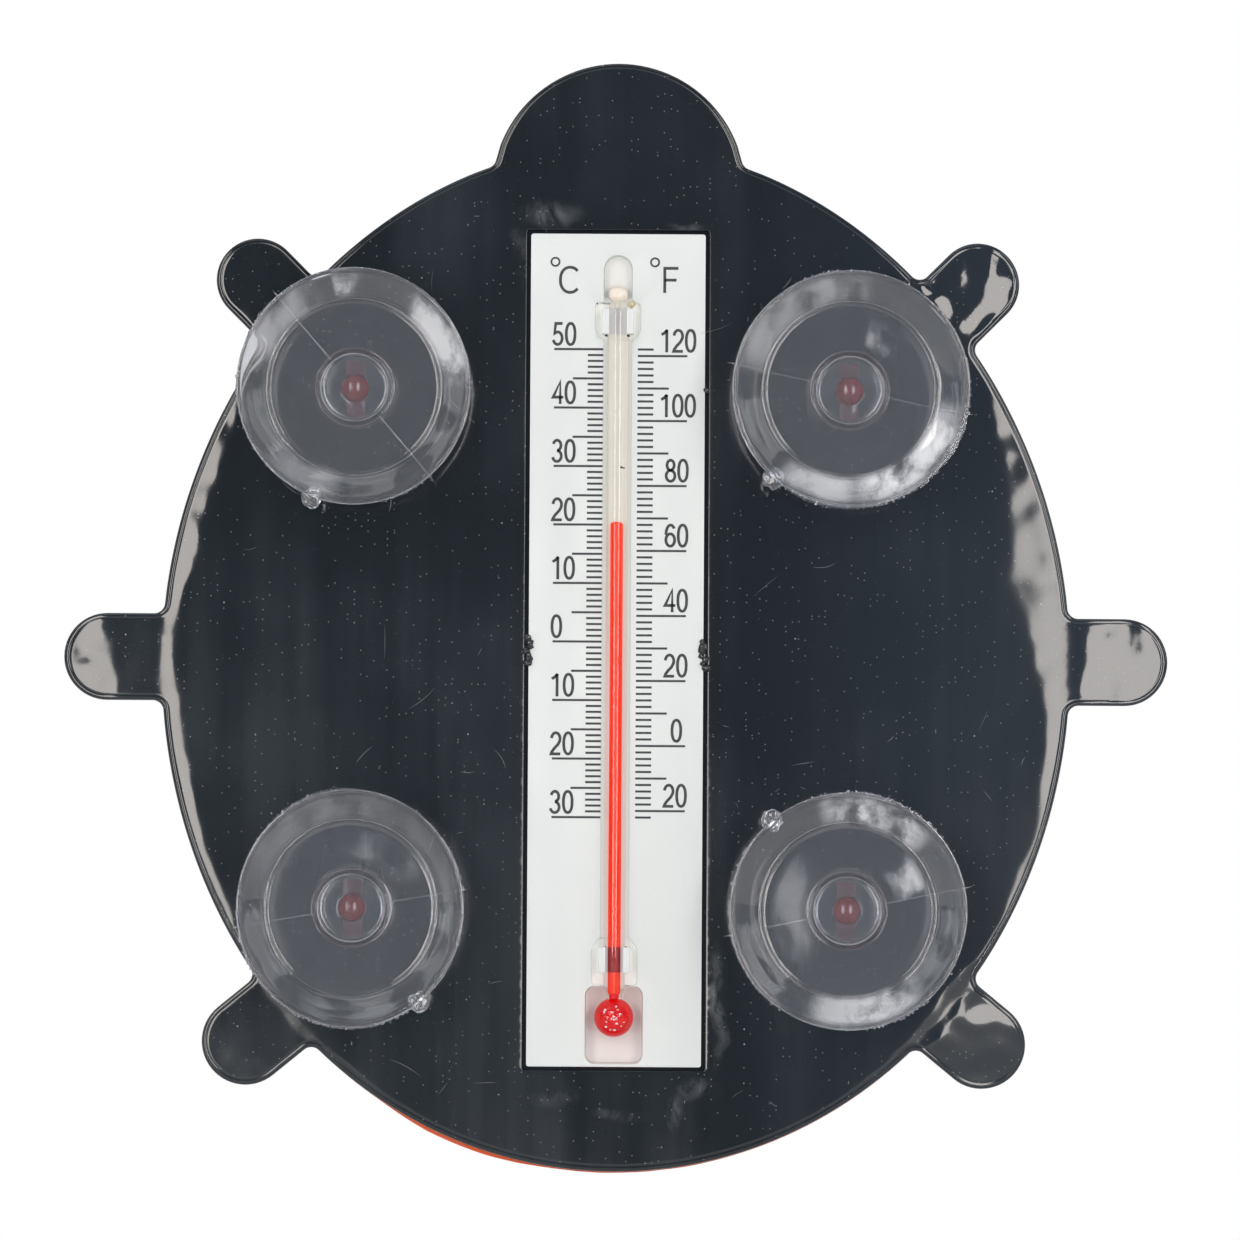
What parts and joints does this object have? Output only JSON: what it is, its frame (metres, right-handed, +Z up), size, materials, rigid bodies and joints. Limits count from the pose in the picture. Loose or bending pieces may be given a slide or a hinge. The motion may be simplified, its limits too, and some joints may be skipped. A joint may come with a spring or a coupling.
{
  "type": "window thermometer",
  "caption": "Beetle-shaped outdoor window thermometer: a glass spirit tube on a dual scale plate, held to the pane by swivelling suction cups.",
  "frame": {"origin": "middle of the contact plane of the four cup lips, straight in front of the middle of the scale plate", "axes": "+Z up towards the head, +X to the right as seen through the window, +Y away from the window"},
  "size_m": [0.1878, 0.0385, 0.189],
  "materials": {
    "black_plastic": "glossy black injection-moulded plastic, lightly scratched and dusty",
    "orange_plastic": "glossy orange-red moulded plastic with painted black spots",
    "white_plastic": "satin white moulded plastic with printed dark grey scale marks",
    "glass": "clear glass tube, cream-tinted where it is empty",
    "red_spirit": "clear bright red dyed spirit",
    "red_plastic": "glossy dark red moulded plastic",
    "clear_pvc": "clear soft vinyl with a faint lilac tint, glossy",
    "cream_adhesive": "dried cream-coloured glue",
    "clear_adhesive": "dried translucent glue"
  },
  "bodies": {
    "root": {"back_plate": "black_plastic", "front_shell": "orange_plastic", "head_cap": "black_plastic", "scale_plate": "white_plastic", "glass_tube": "glass", "tube_tip_seal": "glass", "bulb_liquid": "red_spirit", "liquid_column": "red_spirit", "tip_adhesive": "cream_adhesive", "plate_adhesive_upper": "clear_adhesive", "plate_adhesive_lower": "clear_adhesive", "peg_upper_left": "red_plastic", "peg_upper_right": "red_plastic", "peg_lower_left": "red_plastic", "peg_lower_right": "red_plastic"},
    "column_top": {"liquid_meniscus": "red_spirit"},
    "cup_upper_left": {"cup_upper_left": "clear_pvc"},
    "cup_upper_right": {"cup_upper_right": "clear_pvc"},
    "cup_lower_left": {"cup_lower_left": "clear_pvc"},
    "cup_lower_right": {"cup_lower_right": "clear_pvc"}
  },
  "joints": [
    {"name": "column_level", "type": "slide", "parent": "root", "child": "column_top", "axis": [0, 0, 1], "range_m": [-0.05025, 0.02935], "deforming": ["liquid_column"]},
    {"name": "cup_upper_left_swivel", "type": "hinge", "parent": "root", "child": "cup_upper_left", "pos_m": [-0.0444, 0.0094, 0.0439], "axis": [0, 1, 0], "continuous": true},
    {"name": "cup_upper_right_swivel", "type": "hinge", "parent": "root", "child": "cup_upper_right", "pos_m": [0.0393, 0.0094, 0.0439], "axis": [0, 1, 0], "continuous": true},
    {"name": "cup_lower_left_swivel", "type": "hinge", "parent": "root", "child": "cup_lower_left", "pos_m": [-0.0444, 0.0094, -0.0439], "axis": [0, 1, 0], "continuous": true},
    {"name": "cup_lower_right_swivel", "type": "hinge", "parent": "root", "child": "cup_lower_right", "pos_m": [0.0393, 0.0094, -0.0439], "axis": [0, 1, 0], "continuous": true}
  ]
}
